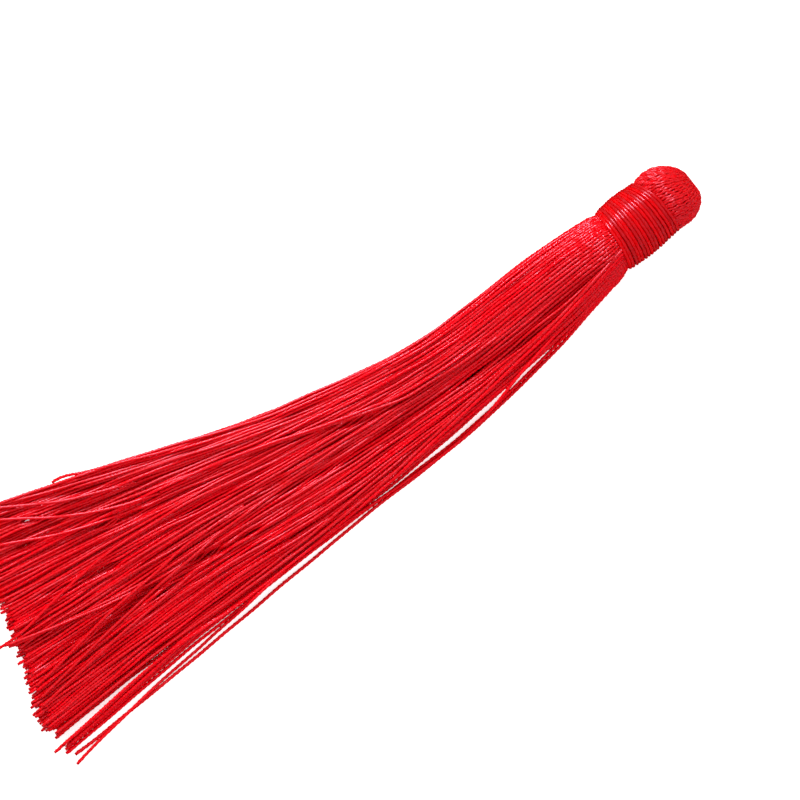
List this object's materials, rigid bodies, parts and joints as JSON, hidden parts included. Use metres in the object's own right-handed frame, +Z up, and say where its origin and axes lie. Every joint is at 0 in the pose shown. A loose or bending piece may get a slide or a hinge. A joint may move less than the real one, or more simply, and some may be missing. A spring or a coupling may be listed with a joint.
{
  "type": "silk tassel",
  "caption": "Silk tassel lying fanned out: folded yarn head, thread-wound neck and a long skirt of loose twisted strands.",
  "frame": {"origin": "middle of the bounding box, on the surface that the tassel lies on", "axes": "+X along the head's axis, from the cut ends of the strands to the folded head; +Z up from the surface; +Y towards the side to which the skirt fans out"},
  "size_m": [0.1308, 0.0424, 0.0103],
  "materials": {
    "silk_yarn": "twisted silk yarn with a soft sheen along the strands",
    "binding_thread": "smooth glossy wound thread"
  },
  "bodies": {
    "root": {"yarn_bundle": "silk_yarn", "neck_binding": "binding_thread"}
  },
  "joints": []
}
